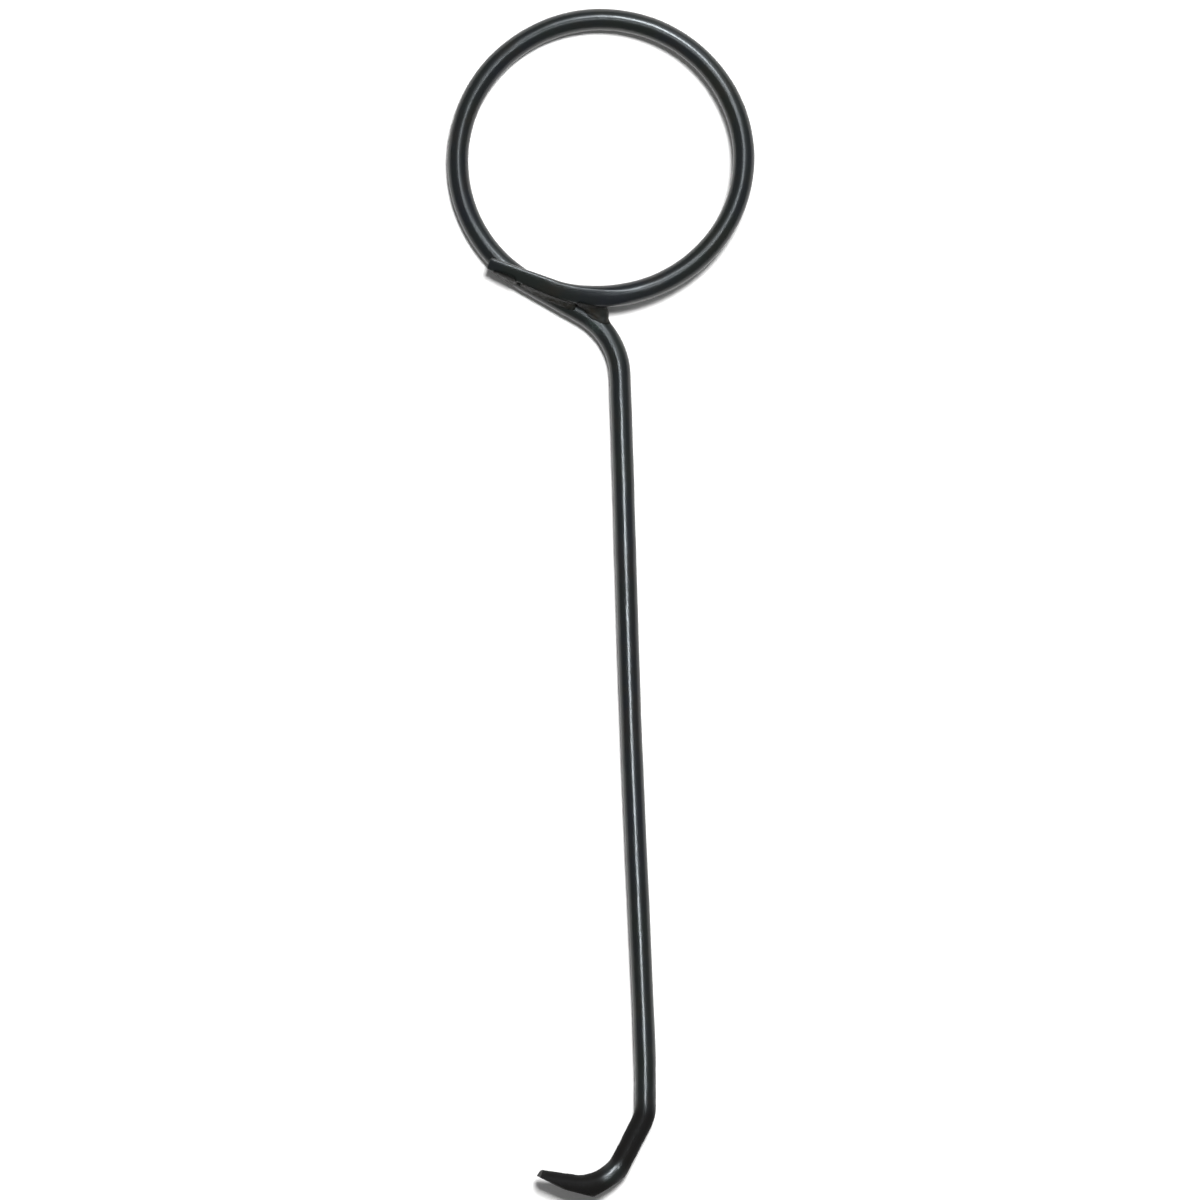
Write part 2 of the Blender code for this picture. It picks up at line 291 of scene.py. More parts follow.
# ---- the hook, section by section in its own plane ----------------------------------------
def hook_walk():
    """Dense stations from the shank to the tip: place (w, d), heading, radius, the centre of
    the second bend, and how much of that bend is done (0 at its start, 1 at its end)."""
    rows, sideways, down, heading = [], 0.0, 0.0, 0.0
    for size, degrees in HOOK_MOVES:
        sine, cosine = math.sin(heading), math.cos(heading)
        if degrees:
            turn = math.radians(degrees)
            turn_start = heading
            centre = (sideways + size * cosine, down - size * sine)
            count = max(3, int(size * turn / HOOK_STEP))
            for i in range(1, count + 1):
                angle = heading + turn * i / count
                place = (centre[0] - size * math.cos(angle), centre[1] + size * math.sin(angle))
                rows.append((*place, angle))
        else:
            count = max(2, int(size / HOOK_STEP))
            for i in range(1, count + 1):
                gone = size * i / count
                rows.append((sideways + gone * sine, down + gone * cosine, heading))
        sideways, down, heading = rows[-1]
    rows = np.array(rows)
    bend = (rows[:, 2] - turn_start) / math.radians(BEND2_ANGLE)
    swell = HEEL_SWELL * smooth(3.0 * bend) * (1.0 - 0.55 * smooth(3.0 * bend - 2.0))
    return rows[:, :2], rows[:, 2], BAR_R + swell, np.array(centre), bend


def hook_to_tool(sideways, down, out):
    """From the hook's turned plane (w, d, and out of the plane) to the tool."""
    cosine, sine = math.cos(HOOK_TWIST), math.sin(HOOK_TWIST)
    x = SHANK_X - sideways * cosine + out * sine
    return np.stack([x, SHANK_END_Y - down, BAR_R + sideways * sine + out * cosine], -1)


def ground_faces(centre):
    """A point and the outward normal (w, d) of each ground face; the cut end is last."""
    corners = centre + GROUND_OUTLINE
    along = unit(np.diff(corners, axis=0))
    return list(zip(corners, np.stack([-along[:, 1], along[:, 0]], -1)))


def hook_sections():
    """Rows of points round the hook, from the shank to the tip, with the ground faces cut;
    also the bend done, edge wear, axis and the cut end's normal."""
    axis, heading, radius, centre, bend = hook_walk()
    tangent = np.stack([np.sin(heading), np.cos(heading)], -1)
    outward = np.stack([-np.cos(heading), np.sin(heading)], -1)  # to the heel's side
    *faces, (end_point, end_normal) = ground_faces(centre)

    # Stations past the plane of the cut end go, and one more is put exactly on it.
    left = -((axis - end_point) @ end_normal) / np.maximum(tangent @ end_normal, 1e-6)
    keep = (bend < 1.0) | (left > 0.02 * MM)
    axis, tangent, outward, radius, bend, left = (
        values[keep] for values in (axis, tangent, outward, radius, bend, left)
    )
    axis = np.concatenate([axis, (axis[-1] + tangent[-1] * left[-1])[None]])
    tangent, outward, radius, bend = (
        np.concatenate([values, values[-1:]]) for values in (tangent, outward, radius, bend)
    )
    left = np.append(left, 0.0)

    # The last sections turn until they lie in the plane of the cut end.
    end_across = np.array([-end_normal[1], end_normal[0]])
    turn = smooth(1.0 - left / (0.82 * TIP_LENGTH))
    turn[bend < 1.0] = 0.0
    across = unit(outward * (1.0 - turn[:, None]) + end_across * turn[:, None])

    # The core of each section: half way between its inner side and its cut outer side.
    slant = (across * outward).sum(-1)
    inner = -radius / slant
    outer = radius / slant
    for point, normal in faces:
        toward = across @ normal
        reach = ((point - axis) @ normal) / np.maximum(toward, 1e-6)
        reach = np.where(toward > 0.15, reach, 1.0)
        outer = smallest(outer, np.maximum(reach, -2.9 * MM), 0.3 * MM)
    core = axis + across * ((inner + outer) / 2.0)[:, None]

    # Rays from the core meet the round bar where a quadratic is zero.
    cosine, sine = np.cos(AROUND), np.sin(AROUND)
    offset = ((core - axis) * outward).sum(-1)[:, None]
    slope = cosine * slant[:, None]
    square = slope * slope + sine * sine
    linear = offset * slope
    constant = offset * offset - (radius**2)[:, None]
    root = np.sqrt(np.maximum(linear * linear - square * constant, 0.0))
    reach = (-linear + root) / square
    edge = np.full(reach.shape, 1.0)
    for point, normal in faces:
        room = ((point - core) @ normal)[:, None]
        speed = cosine * (across @ normal)[:, None]
        hit = np.where(speed > 0.05, room / np.maximum(speed, 1e-6), 1.0)
        hit = np.maximum(hit, 0.05 * MM)
        edge = np.minimum(edge, np.abs(hit - reach))
        reach = smallest(reach, hit, 0.20 * MM)
    # rounded edge at the cut end
    reach = reach - edge_drop(left, 0.13 * MM)[:, None] * 0.8

    section = core[:, None, :] + (reach * cosine)[..., None] * across[:, None, :]
    rows = hook_to_tool(section[..., 0], section[..., 1], reach * sine)
    end_way = hook_to_tool(*end_normal, 0.0) - hook_to_tool(0.0, 0.0, 0.0)
    wear = np.exp(-edge / (0.35 * MM)) * (bend > -0.2)[:, None]
    wear = np.maximum(wear, np.exp(-left / (0.5 * MM))[:, None] * (bend >= 1.0)[:, None])
    return rows, wear, hook_to_tool(axis[:, 0], axis[:, 1], 0.0), end_way


# ---- build the bar ------------------------------------------------------------------------
def weathered(rows, axis, length, hook_length):
    """The rows with the waviness of drawn bar, and hammer marks at the hook and the lap."""
    out = unit(rows - axis[:, None, :])
    flat = rows.reshape(-1, 3)

    def marks(wavelength, seed):
        return field(flat, wavelength, seed).reshape(rows.shape[:2])

    wave = 0.022 * MM * marks(26.0 * MM, seed=3) + 0.010 * MM * marks(7.0 * MM, seed=5)
    at_hook = 1.0 - smooth((length - hook_length) / (14.0 * MM))
    at_lap = smooth((length - length[-1] + 34.0 * MM) / (14.0 * MM))
    worked = np.maximum(at_hook, at_lap)[:, None]
    hammer = -0.050 * MM * np.clip(marks(4.2 * MM, seed=11) - 0.5, 0.0, 1.5) * worked
    near_tip = np.exp(-length / (2.0 * MM))
    move = (wave + hammer) * (1.0 - near_tip[:, None])
    return rows + out * move[..., None] - out * (0.03 * MM)


def add_masks(bar, rows, axis, length, hook_length, wear):
    """The attributes the paint reads."""

    def mask(name, values, cap_value=0.0):
        values = np.broadcast_to(values, rows.shape[:2]).reshape(-1)
        point_layer(bar, name, np.concatenate([values, np.full(2 * CAP_COUNT, cap_value)]))

    mask("bar_along", length[:, None])
    mask("bar_around", np.arange(SIDES) / SIDES)
    mask("bar_edge", wear, 0.6)
    ways = np.repeat(unit(np.gradient(axis, axis=0)), SIDES, axis=0)
    cap_ways = np.repeat([ways[0], ways[-1]], CAP_COUNT, axis=0)
    point_layer(bar, "bar_axis", np.concatenate([ways, cap_ways]), "FLOAT_VECTOR", "vector")
    matte = 1.0 - smooth((length - hook_length + 15.0 * MM) / (6.0 * MM))
    # one rubbed place on the second bend
    place = rows[..., :2] - np.array([-6.9 * MM, -281.0 * MM])
    lengthwise = place @ np.array([-0.655, -0.756])
    crosswise = place @ np.array([-0.756, 0.655])
    rubbed = np.exp(-((lengthwise / (3.0 * MM)) ** 2) - (crosswise / (2.4 * MM)) ** 2)
    mask("bar_forged", matte[:, None] * (1.0 - smooth(1.3 * rubbed)), 1.0)


def build_bar():
    """The bar, swept from the hook's tip to the closing end, and its upper stations."""
    hook_rows, hook_wear, hook_axis, tip_way = hook_sections()
    points, radius, shank_count, ring_first = upper_stations()
    rows, end_way = upper_rows(points, radius, shank_count)

    # The hook was built from the shank to the tip, so it is turned round.
    wear = np.concatenate([hook_wear[::-1], np.zeros(rows.shape[:2])])
    rows = np.concatenate([hook_rows[::-1], rows])
    axis = np.concatenate([hook_axis[::-1], points])
    length = run_along(axis)
    hook_length = length[len(hook_rows)]
    rows = weathered(rows, axis, length, hook_length)

    tip_cap = cap_points(rows[0], unit(tip_way) * 0.05 * MM)
    end_cap = cap_points(rows[-1], end_way * 0.06 * MM)
    all_points = np.concatenate([rows.reshape(-1, 3), tip_cap, end_cap])
    bar = mesh_object("bar", all_points, swept_faces(len(rows)))
    add_masks(bar, rows, axis, length, hook_length, wear)
    return bar, points, radius, ring_first


# ---- welds --------------------------------------------------------------------------------
def chain_distance(points, chain, radius, block=20000):
    """For points near a thick chain of stations: distance to its surface, run along it and
    nearest station. Worked in blocks to save memory."""
    tangent = unit(np.gradient(chain, axis=0))
    run = run_along(chain)
    far, along = np.empty(len(points)), np.empty(len(points))
    nearest = np.empty(len(points), int)
    for i in range(0, len(points), block):
        part = slice(i, i + block)
        some = points[part]
        squared = (
            (some * some).sum(1)[:, None] - 2.0 * some @ chain.T + (chain * chain).sum(1)[None, :]
        )
        near = np.argmin(squared, axis=1)
        offset = some - chain[near]
        ahead = (offset * tangent[near]).sum(1)
        ahead = np.where((near > 0) & (near < len(chain) - 1), ahead, 0.0)
        beside = np.sqrt(np.maximum((offset * offset).sum(1) - ahead * ahead, 0.0))
        far[part] = beside - radius[near]
        along[part] = run[near] + ahead
        nearest[part] = near
    return far, along, nearest


def net_points(values, inside, origin, step):
    """One point in each grid cell that the surface crosses, and the cells' point numbers."""
    cells = np.array(values.shape) - 1
    total, hits = np.zeros((*cells, 3)), np.zeros(cells)

    def take(corner):
        return values[tuple(slice(c, size + c) for c, size in zip(corner, cells))]

    for corner in [(i, j, k) for i in (0, 1) for j in (0, 1) for k in (0, 1)]:
        for axis in range(3):
            if corner[axis]:
                continue
            other = list(corner)
            other[axis] = 1
            start, end = take(corner), take(other)
            crossed = (start < 0.0) != (end < 0.0)
            share = np.where(crossed, start / np.where(crossed, start - end, 1.0), 0.0)
            for i in range(3):
                place = corner[i] + (share if i == axis else 0.0)
                total[..., i] += np.where(crossed, place, 0.0)
            hits += crossed
    used = hits > 0
    index = np.full(used.shape, -1, int)
    index[used] = np.arange(int(used.sum()))
    points = origin + (np.argwhere(used) + total[used] / hits[used][:, None]) * step
    return points, index


def surface_of(values, origin, step):
    """Closed surface where a field on a grid is zero (surface nets): points and quads.
    Inside is negative."""
    inside = values < 0.0
    points, index = net_points(values, inside, origin, step)
    quads = []
    for axis in range(3):
        second, third = (axis + 1) % 3, (axis + 2) % 3
        low, high = [slice(None)] * 3, [slice(None)] * 3
        low[axis], high[axis] = slice(0, -1), slice(1, None)
        before, after = inside[tuple(low)], inside[tuple(high)]
        for crossing, order in ((before & ~after, 1), (~before & after, -1)):
            for cell in np.argwhere(crossing):
                if cell[second] == 0 or cell[third] == 0:
                    continue
                ring = []
                for i, j in ((-1, -1), (0, -1), (0, 0), (-1, 0)):
                    corner = cell.copy()
                    corner[second] += i
                    corner[third] += j
                    if np.any(corner >= index.shape):
                        break
                    ring.append(index[tuple(corner)])
                if len(ring) == 4 and min(ring) >= 0:
                    quads.append(tuple(ring[::order]))
    return points, quads


def near_box(chain, radius, low, high):
    """The stations of a chain near a box."""
    margin = 8.0 * MM
    hit = np.all((chain > low - margin) & (chain < high + margin), axis=1)
    first, last = np.flatnonzero(hit)[[0, -1]]
    return chain[first : last + 1], radius[first : last + 1]


def build_weld(
    name, box, bars, fillet_at, pitch, depth, seed, core=None, rough=0.05 * MM, step=0.16 * MM
):
    """Weld metal that fills the crease between the lower and the upper bar, inside a box.
    fillet_at gives the size of the fill at each point and the run its ripples follow; core is
    an extra rounded lump (two ends, radius)."""
    low, high = box
    counts = np.ceil((high - low) / step).astype(int) + 1
    ticks = [low[i] + np.arange(counts[i]) * step for i in range(3)]
    grid = np.stack(np.meshgrid(*ticks, indexing="ij"), -1).reshape(-1, 3)
    chains = [near_box(*bar, low, high) for bar in bars]
    lower, _, near_lower = chain_distance(grid, *chains[0])
    upper, run_upper, near_upper = chain_distance(grid, *chains[1])
    size, run = fillet_at(grid, chains, near_lower, near_upper, run_upper)
    bare = np.minimum(lower, upper)
    filled = smallest(lower, upper, size)
    if core is not None:
        start, end, core_r = core
        way = end - start
        share = np.clip(((grid - start) @ way) / (way @ way), 0.0, 1.0)
        lump = np.linalg.norm(grid - (start + share[:, None] * way), axis=1) - core_r
        filled = smallest(filled, lump, 3.6 * MM)
    grown = bare - filled
    # crescent ripples, trailing at their edges
    warp = (run + 0.9 * np.abs(lower - upper)) / pitch
    jitter = np.random.RandomState(seed).uniform(-0.3, 0.3, 50)
    warp = warp + np.interp(warp, np.linspace(-2.0, 40.0, 50), jitter)
    ripple = np.sqrt(np.clip(warp % 1.0, 0.0, 1.0)) - 0.6
    body = smooth(grown / (0.30 * MM))
    texture = depth * ripple + rough * field(grid, 2.2 * MM, seed + 3) + 2.0 * rough
    filled = filled - texture * body
    value = np.maximum(filled, np.maximum(0.03 * MM - grown, -(bare + 0.35 * MM)))
    points, quads = surface_of(value.reshape(counts), low, step)
    made = mesh_object(name, points, quads)
    height = np.minimum(*(chain_distance(points, *chain)[0] for chain in chains))
    # near 1 where the weld meets the bars; the paint uses it for painted shade in the creases
    # there
    point_layer(made, "weld_toe_shade", np.exp(-np.maximum(height, 0.0) / (0.16 * MM)))
    return made


def right_of(chain):
    """Level unit vectors to the right of a chain, as it runs on."""
    way = unit(np.gradient(chain, axis=0))
    return unit(np.stack([way[:, 1], -way[:, 0], 0.0 * way[:, 0]], -1))


def outer_side(grid, chain, nearest):
    """How far out of the ring each point lies from the chain's middle line."""
    right = right_of(chain)
    out = right * np.sign((right[:, :2] * chain[:, :2]).sum(1))[:, None]
    return ((grid - chain[nearest]) * out[nearest]).sum(1)


def crease(bar_end, start, stop, size, ease):
    """Fill along the outer side of the upper bar, from start to stop back from its end."""

    def fillet_at(grid, chains, near_lower, near_upper, run_upper):
        chain = chains[1][0]
        gone = float(np.linalg.norm(bar_end - chain[-1]))
        from_end = run_along(chain)[-1] - run_upper + gone
        here = smooth((from_end - start) / ease) * smooth((stop - from_end) / ease)
        here = here * smooth(outer_side(grid, chain, near_upper) / (0.8 * MM))
        return size * here, from_end

    return fillet_at


# The web in the fork is partly painted shade: dark weld metal where shade falls.
def fork(grid, chains, near_lower, near_upper, run_upper):
    """Fill to the right of the neck, as it runs up to the ring, and outside the upper bar."""
    chain = chains[0][0]
    beside = ((grid - chain[near_lower]) * right_of(chain)[near_lower]).sum(1)
    side = outer_side(grid, chains[1][0], near_upper)
    x = grid[:, 0]
    here = smooth((beside - 0.3 * MM) / (1.2 * MM)) * smooth((side - 0.2 * MM) / (1.0 * MM))
    here = here * smooth((x + 9.8 * MM) / (2.6 * MM)) * smooth((4.4 * MM - x) / (4.0 * MM))
    return 5.0 * MM * here, x


def build_welds(points, radius, ring_first):
    """The three deposits, each with the frame's node it replaces: the lap bead, the closing
    end's tack and the web in the fork, which is also painted shade: dark weld metal that fills
    the fork where shade falls between neck and ring."""
    run = run_along(points)

    def station(length):
        return int(np.searchsorted(run, length))

    def back(length):
        return points[station(run[-1] - length)]

    def around(*places):
        pad = np.array([5.2 * MM, 5.2 * MM, 0.0])
        low, high = np.min(places, axis=0) - pad, np.max(places, axis=0) + pad
        low[2], high[2] = 0.2 * MM, 10.5 * MM
        return low, high

    start, stop = station(run[ring_first] - 34.0 * MM), station(run[ring_first] + 45.0 * MM)
    first = station(run[-1] - 62.0 * MM)
    bars = ((points[start:stop], radius[start:stop]), (points[first:], radius[first:]))
    bar_end = points[-1]

    lap_from, tack_to = 8.8 * MM, 10.4 * MM
    lap = build_weld(
        "lap_bead",
        around(back(lap_from), back(19.0 * MM), back(29.6 * MM)),
        bars,
        crease(bar_end, start=lap_from, stop=27.8 * MM, size=3.4 * MM, ease=2.4 * MM),
        pitch=1.25 * MM,
        depth=0.10 * MM,
        seed=21,
    )
    tack = build_weld(
        "end_tack",
        around(bar_end, back(tack_to)),
        bars,
        crease(bar_end, start=0.3 * MM, stop=tack_to, size=4.4 * MM, ease=2.2 * MM),
        pitch=1.7 * MM,
        depth=0.06 * MM,
        seed=31,
    )
    # partly painted shade: dark weld metal filling the fork, where shade falls between neck and
    # ring
    web = build_weld(
        "throat_web_and_shade",
        (np.array([-10.4, -48.0, 0.3]) * MM, np.array([4.2, -37.0, 10.2]) * MM),
        bars,
        fork,
        pitch=2.0 * MM,
        depth=0.02 * MM,
        seed=41,
        core=(np.array([-2.9, -41.2, 4.3]) * MM, np.array([-0.8, -42.2, 4.3]) * MM, 0.60 * MM),
        rough=0.02 * MM,
    )
    return [(lap, "lap_weld"), (tack, "end_tack_weld"), (web, "throat_weld")]


# ---- place everything in the frame --------------------------------------------------------
def mesh_points(obj):
    flat = np.empty(len(obj.data.vertices) * 3)
    obj.data.vertices.foreach_get("co", flat)
    return flat.reshape(-1, 3)


def frame_fit(bar):
    """The map from the bar's own coordinates into the frame, which puts the bar's box just
    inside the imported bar's box."""
    points = mesh_points(bar)
    low, high = points.min(0), points.max(0)
    box_low, box_high = (np.array(corner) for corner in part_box("bent_bar"))
    margin = 0.01 * MM
    scale = (box_high - box_low - 2 * margin) / (high - low)
    return lambda place: (place - low) * scale + box_low + margin


bar, upper_points, upper_radius, ring_first = build_bar()
welds = build_welds(upper_points, upper_radius, ring_first)
to_frame = frame_fit(bar)
for piece in [bar] + [weld for weld, _ in welds]:
    piece.data.vertices.foreach_set("co", to_frame(mesh_points(piece)).ravel())
    piece.data.update()


# ---- materials ----------------------------------------------------------------------------
class Nodes:
    """Short names for building the node tree of a material or world."""

    def __init__(self, owner):
        owner.use_nodes = True
        self.tree = owner.node_tree
        self.tree.nodes.clear()

    def add(self, kind, **settings):
        node = self.tree.nodes.new(kind)
        for key, value in settings.items():
            setattr(node, key, value)
        return node

    def put(self, socket, value):
        if isinstance(value, bpy.types.NodeSocket):
            self.tree.links.new(value, socket)
        else:
            socket.default_value = value

    def fill(self, node, values):
        """Sets or links inputs, given by name or number."""
        for key, value in values.items():
            self.put(node.inputs[key], value)

    def principled(self):
        out = self.add("ShaderNodeOutputMaterial")
        shader = self.add("ShaderNodeBsdfPrincipled")
        self.put(out.inputs[0], shader.outputs[0])
        return shader

    def position(self):
        return self.add("ShaderNodeTexCoord").outputs["Object"]

    def math(self, operation, *values):
        node = self.add("ShaderNodeMath", operation=operation)
        self.fill(node, dict(enumerate(values)))
        return node.outputs[0]

    def times(self, value, factor):
        return self.math("MULTIPLY", value, factor)

    def scale_add(self, value, gain, base):
        return self.math("MULTIPLY_ADD", value, gain, base)

    def mix(self, factor, under, over):
        node = self.add("ShaderNodeMix", data_type="RGBA", clamp_factor=True)
        self.fill(node, {0: factor, 6: under, 7: over})
        return node.outputs[2]

    def tint(self, under, over, mask, strength):
        return self.mix(self.times(mask, strength), under, over)

    def noise(self, vector, scale, detail, rough, distortion=0.0):
        node = self.add("ShaderNodeTexNoise")
        values = {"Scale": scale, "Detail": detail, "Roughness": rough, "Distortion": distortion}
        self.fill(node, {"Vector": vector, **values})
        return node.outputs["Fac"]

    def ramp(self, value, start, end, falling=False):
        """From 0 at start to 1 at end, or from 1 to 0 when falling."""
        node = self.add("ShaderNodeValToRGB")
        greys = (1.0, 0.0) if falling else (0.0, 1.0)
        for element, place, grey in zip(node.color_ramp.elements, (start, end), greys):
            element.position = place
            element.color = (grey, grey, grey, 1.0)
        self.put(node.inputs[0], value)
        return node.outputs[0]

    def attribute(self, name, output="Fac"):
        return self.add("ShaderNodeAttribute", attribute_name=name).outputs[output]

    def bar_vector(self, around, along, layer):
        """Texture place that follows the bar; around and along are scales."""
        node = self.add("ShaderNodeCombineXYZ")
        x = self.times(self.attribute("bar_around"), around)
        y = self.times(self.attribute("bar_along"), along)
        self.fill(node, {0: x, 1: y, 2: layer})
        return node.outputs[0]

    def spot(self, position, centre, radius):
        """1 near a point of the frame, falling to 0 at radius."""
        node = self.add("ShaderNodeVectorMath", operation="DISTANCE")
        self.fill(node, {0: position, 1: tuple(centre)})
        ranged = self.add("ShaderNodeMapRange", interpolation_type="SMOOTHSTEP")
        self.fill(ranged, {0: node.outputs["Value"], 1: 0.0, 2: radius, 3: 1.0, 4: 0.0})
        return ranged.outputs[0]

    def bump(self, height, distance, strength, normal=None):
        node = self.add("ShaderNodeBump")
        self.fill(node, {"Strength": strength, "Distance": distance, "Height": height})
        if normal is not None:
            self.put(node.inputs["Normal"], normal)
        return node.outputs[0]


def black_paint():
    bottle_green, navy = (0.0080, 0.0105, 0.0092, 1.0), (0.0070, 0.0085, 0.0120, 1.0)
    brown, forged_black = (0.0150, 0.0118, 0.0085, 1.0), (0.0105, 0.0095, 0.0090, 1.0)
    rubbed_grey, scuffed_grey = (0.055, 0.050, 0.047, 1.0), (0.034, 0.038, 0.038, 1.0)
    # the light grey-green of a painted sheen on the neck
    neck_sheen_grey = (0.060, 0.085, 0.078, 1.0)

    material = bpy.data.materials.new("satin_black_paint_finish")
    net = Nodes(material)
    shader = net.principled()
    position = net.position()
    edge, forged = net.attribute("bar_edge"), net.attribute("bar_forged")

    # slow drifts of colour, and the forged hook
    drift = net.noise(position, scale=55.0, detail=3.0, rough=0.6)
    colour = net.mix(net.ramp(drift, start=0.38, end=0.66), bottle_green, navy)
    patch = net.noise(position, scale=95.0, detail=4.0, rough=0.6)
    patch = net.ramp(patch, start=0.52, end=0.72)
    colour = net.tint(colour, brown, patch, strength=0.5)
    colour = net.tint(colour, forged_black, forged, strength=0.75)

    # drawn lines and faint scuffs that follow the bar, grit, peel and pits
    lines_at = net.bar_vector(around=46.0, along=90.0, layer=0.0)
    lines = net.noise(lines_at, scale=1.0, detail=4.0, rough=0.6)
    scuff_at = net.bar_vector(around=9.0, along=420.0, layer=3.0)
    scuff = net.noise(scuff_at, scale=1.0, detail=5.0, rough=0.7, distortion=0.6)
    scuff = net.ramp(scuff, start=0.63, end=0.74)
    grit = net.noise(position, scale=2600.0, detail=2.0, rough=0.6)
    peel = net.noise(position, scale=900.0, detail=2.0, rough=0.5)
    pits = net.add("ShaderNodeTexVoronoi")
    net.fill(pits, {"Vector": position, "Scale": 620.0})
    pit = net.ramp(pits.outputs["Distance"], start=0.05, end=0.16, falling=True)

    # rubbed edges: paint thinned to grey-brown
    rub = net.noise(position, scale=1500.0, detail=4.0, rough=0.65)
    rub = net.times(edge, net.ramp(rub, start=0.42, end=0.68))
    colour = net.tint(colour, rubbed_grey, rub, strength=0.5)
    colour = net.tint(colour, scuffed_grey, scuff, strength=0.35)
    # painted sheen: a granular light patch on the neck, just under the ring, along its line of
    # sheen
    neck_sheen_centre = to_frame(np.array([-3.6, -46.2, 5.6]) * MM)
    neck_sheen_at = net.spot(position, neck_sheen_centre, radius=3.6 * MM)
    sheen_grain = net.noise(position, scale=1900.0, detail=3.0, rough=0.7)
    sheen_grain = net.times(net.ramp(sheen_grain, start=0.44, end=0.60), factor=0.55)
    colour = net.mix(net.times(neck_sheen_at, sheen_grain), colour, neck_sheen_grey)

    rough = net.noise(position, scale=240.0, detail=3.0, rough=0.6)
    rough = net.scale_add(rough, gain=0.10, base=0.27)
    centred_lines = net.math("SUBTRACT", lines, 0.5)  # about zero
    rough = net.scale_add(centred_lines, gain=0.14, base=rough)
    rough = net.scale_add(scuff, gain=0.07, base=rough)
    rough = net.scale_add(forged, gain=0.20, base=rough)

    normal = net.bump(grit, distance=0.03 * MM, strength=0.70)
    normal = net.bump(peel, distance=0.06 * MM, strength=0.30, normal=normal)
    normal = net.bump(lines, distance=0.04 * MM, strength=0.30, normal=normal)
    sunk = net.times(pit, factor=-1.0)
    normal = net.bump(sunk, distance=0.04 * MM, strength=0.5, normal=normal)
    values = {
        "Base Color": colour,
        "Roughness": rough,
        "Metallic": 0.0,
        "Specular IOR Level": net.scale_add(forged, gain=-0.43, base=0.46),
        "Anisotropic": 0.50,
        "Tangent": net.attribute("bar_axis", "Vector"),
        "Normal": normal,
    }
    net.fill(shader, values)
    return material


def weld_paint():
    green_black, burnt_brown = (0.0085, 0.0100, 0.0088, 1.0), (0.0150, 0.0122, 0.0080, 1.0)
    # crease_shade_black is painted shade for the creases where the weld meets the bars
    slag_grey, crease_shade_black = (0.030, 0.031, 0.028, 1.0), (0.0025, 0.0024, 0.0022, 1.0)

    material = bpy.data.materials.new("painted_weld_finish")
    net = Nodes(material)
    shader = net.principled()
    position = net.position()
    burnt = net.noise(position, scale=380.0, detail=4.0, rough=0.6)
    colour = net.mix(net.ramp(burnt, start=0.40, end=0.68), green_black, burnt_brown)
    slag = net.noise(position, scale=1700.0, detail=3.0, rough=0.6)
    slag = net.ramp(slag, start=0.60, end=0.74)
    colour = net.tint(colour, slag_grey, slag, strength=0.3)
    # painted shade: the weld goes near black in the creases where it meets the bars
    toe_shade = net.attribute("weld_toe_shade")
    colour = net.tint(colour, crease_shade_black, toe_shade, strength=0.85)

    rough = net.noise(position, scale=900.0, detail=3.0, rough=0.6)
    fine = net.noise(position, scale=2400.0, detail=3.0, rough=0.6)
    coarse = net.noise(position, scale=700.0, detail=2.0, rough=0.5)
    normal = net.bump(fine, distance=0.05 * MM, strength=0.6)
    values = {
        "Base Color": colour,
        "Roughness": net.scale_add(rough, gain=0.22, base=0.44),
        "Specular IOR Level": net.scale_add(toe_shade, gain=-0.24, base=0.30),
        "Normal": net.bump(coarse, distance=0.10 * MM, strength=0.5, normal=normal),
    }
    net.fill(shader, values)
    return material


def floor_paper():
    material = bpy.data.materials.new("pale_floor")
    net = Nodes(material)
    values = {
        "Base Color": (0.93, 0.93, 0.925, 1.0),
        "Roughness": 0.9,
        "Specular IOR Level": 0.1,
    }
    net.fill(net.principled(), values)
    return material


bar_finish, weld_finish = black_paint(), weld_paint()
bar.data.materials.append(bar_finish)
for weld, _ in welds:
    weld.data.materials.append(weld_finish)

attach(bar, "root")
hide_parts("bent_bar")
for weld, node in welds:
    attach(weld, "root")
    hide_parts(node)
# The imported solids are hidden, and still carry the same finishes.
for node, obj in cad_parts.items():
    finish = bar_finish if node == "bent_bar" else weld_finish
    for i in range(max(1, len(obj.material_slots))):
        if len(obj.data.materials) <= i:
            obj.data.materials.append(finish)
        else:
            obj.data.materials[i] = finish


# ---- stage: floor, light, camera ----------------------------------------------------------
middle = (CAD_LOW + CAD_HIGH) / 2
span = CAD_HIGH - CAD_LOW
ground = CAD_LOW.z

FLOOR_HALF, FLOOR_GAP = 3.0, 0.05 * MM
floor_corners = [
    (x * FLOOR_HALF, y * FLOOR_HALF, ground - FLOOR_GAP)
    for x, y in ((-1, -1), (1, -1), (1, 1), (-1, 1))
]
floor = mesh_object("floor", floor_corners, [(0, 1, 2, 3)], smooth_shading=False)
floor.data.materials.append(floor_paper())

world = bpy.data.worlds.new("studio")
bpy.context.scene.world = world
sky = Nodes(world)
sky_out = sky.add("ShaderNodeOutputWorld")
sky_light = sky.add("ShaderNodeBackground")
sky.fill(sky_light, {"Color": (1.0, 1.0, 1.0, 1.0), "Strength": 0.18})
sky.put(sky_out.inputs[0], sky_light.outputs[0])

WHITE, COOL_WHITE = (1.0, 1.0, 1.0), (0.88, 0.95, 1.0)


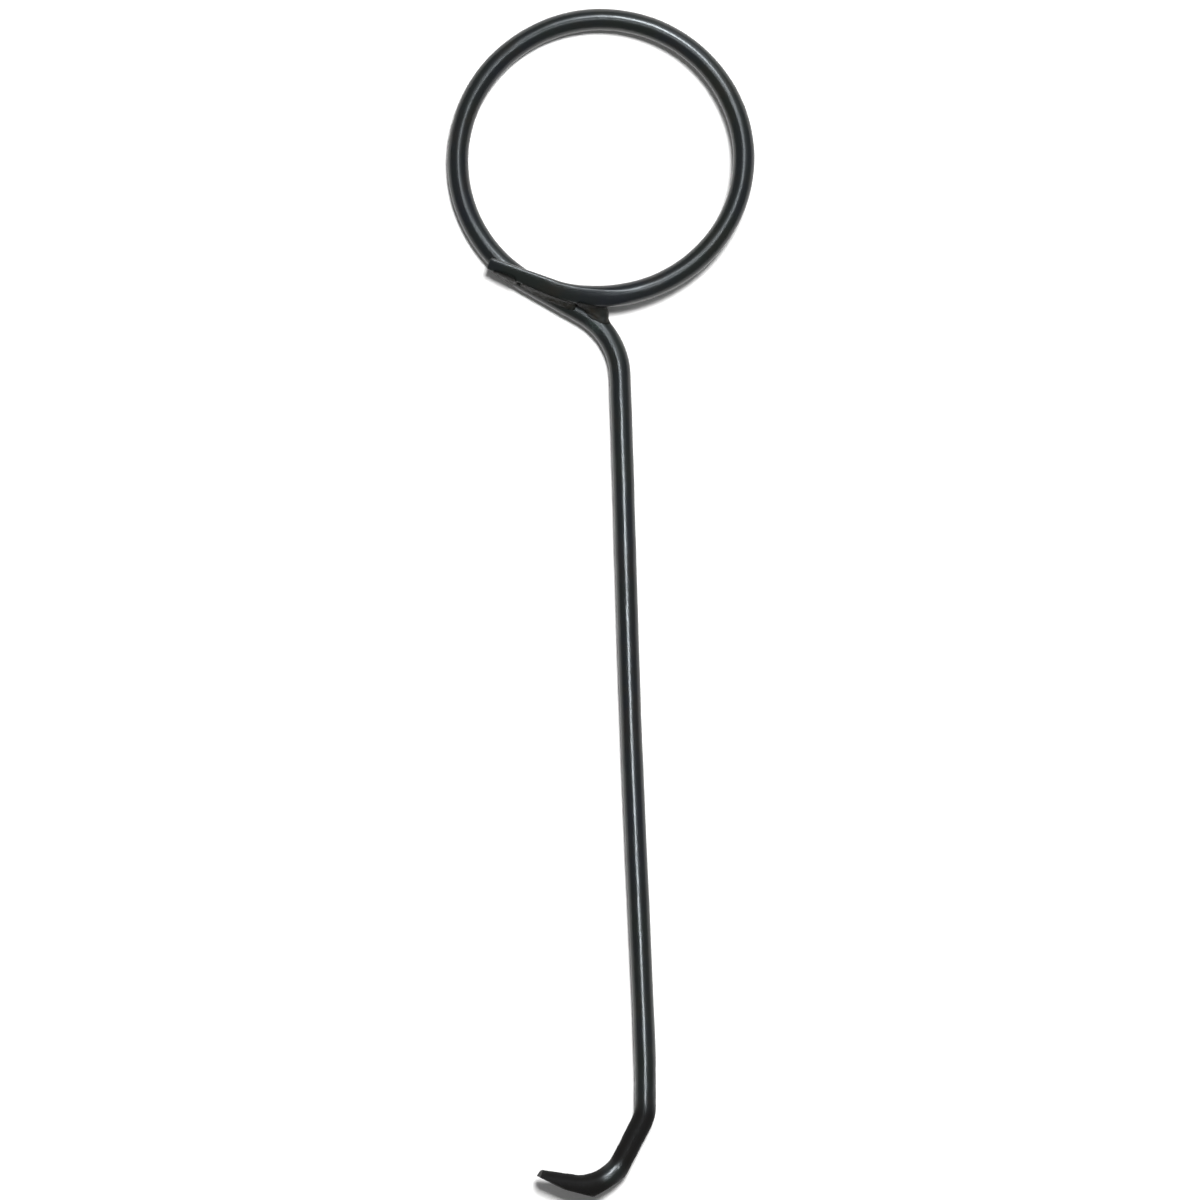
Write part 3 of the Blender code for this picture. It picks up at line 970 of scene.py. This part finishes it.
def area_light(name, target, tilt, way, far, size, power, colour=COOL_WHITE, glossy=True):
    """A soft light aimed at target from far away from it, tilt degrees off vertical, towards
    way degrees from +X. It makes either the sheen on the paint (glossy) or the even light."""
    data = bpy.data.lights.new(name, "AREA")
    data.shape = "RECTANGLE"
    data.size, data.size_y = size
    data.energy = power
    data.color = colour
    light = bpy.data.objects.new(name, data)
    bpy.context.scene.collection.objects.link(light)
    tilt, way = math.radians(tilt), math.radians(way)
    level = math.sin(tilt)
    place = target + far * Vector((level * math.cos(way), level * math.sin(way), math.cos(tilt)))
    light.location = place
    light.visible_camera = False
    light.visible_glossy, light.visible_diffuse = glossy, not glossy
    light.rotation_mode = "QUATERNION"
    light.rotation_quaternion = (target - place).to_track_quat("-Z", "Y")
    return light


centre = Vector((middle.x, middle.y, ground))
ring_at = Vector((middle.x, CAD_HIGH.y - 0.13 * span.y, ground))
shank_at = Vector((middle.x + 3.0 * MM, CAD_LOW.y + 0.36 * span.y, ground))
# the even light, from beyond the ring, which leaves a narrow soft shadow at the bar's foot
area_light(
    "key", centre, tilt=18.0, way=66.0, far=2.0, size=(0.40, 0.40), power=52.0, colour=WHITE,
    glossy=False,
)
# two softboxes and a strip along the shank, which draw the line of sheen
area_light("softbox", ring_at, tilt=34.0, way=74.0, far=1.6, size=(0.20, 0.18), power=36.0)
area_light("softbox_above", centre, tilt=10.0, way=70.0, far=1.6, size=(0.24, 0.24), power=5.0)
strip = area_light(
    "strip", shank_at, tilt=0.0, way=0.0, far=0.15, size=(0.008, 0.21), power=0.036
)
strip.data.spread = math.radians(40.0)
# a large weak fill, set low beyond the ring
area_light("fill", ring_at, tilt=58.0, way=60.0, far=1.6, size=(0.9, 0.9), power=5.0)

# The camera looks straight down, turned a little, from a set distance above the bar's axis.
CAMERA_TURN = math.radians(2.11)
CAMERA_DISTANCE = 2.5
SENSOR_WIDTH = 36.0
VIEW_WIDTH = 1.0116 * span.y  # what the sensor's width covers at the bar's axis
AIM_SHIFT = (-0.0552 * span.x, 0.00194 * span.y)  # aim, from the middle of the tool
camera_data = bpy.data.cameras.new("camera")
camera = bpy.data.objects.new("camera", camera_data)
bpy.context.scene.collection.objects.link(camera)
camera.location = (
    middle.x + AIM_SHIFT[0],
    middle.y + AIM_SHIFT[1],
    ground + BAR_R + CAMERA_DISTANCE,
)
camera.rotation_euler = (0.0, 0.0, -CAMERA_TURN)
camera_data.sensor_width = SENSOR_WIDTH
camera_data.lens = SENSOR_WIDTH * CAMERA_DISTANCE / VIEW_WIDTH
camera_data.clip_start, camera_data.clip_end = 0.01, 20.0
bpy.context.scene.camera = camera

bpy.context.scene.view_settings.view_transform = "Standard"
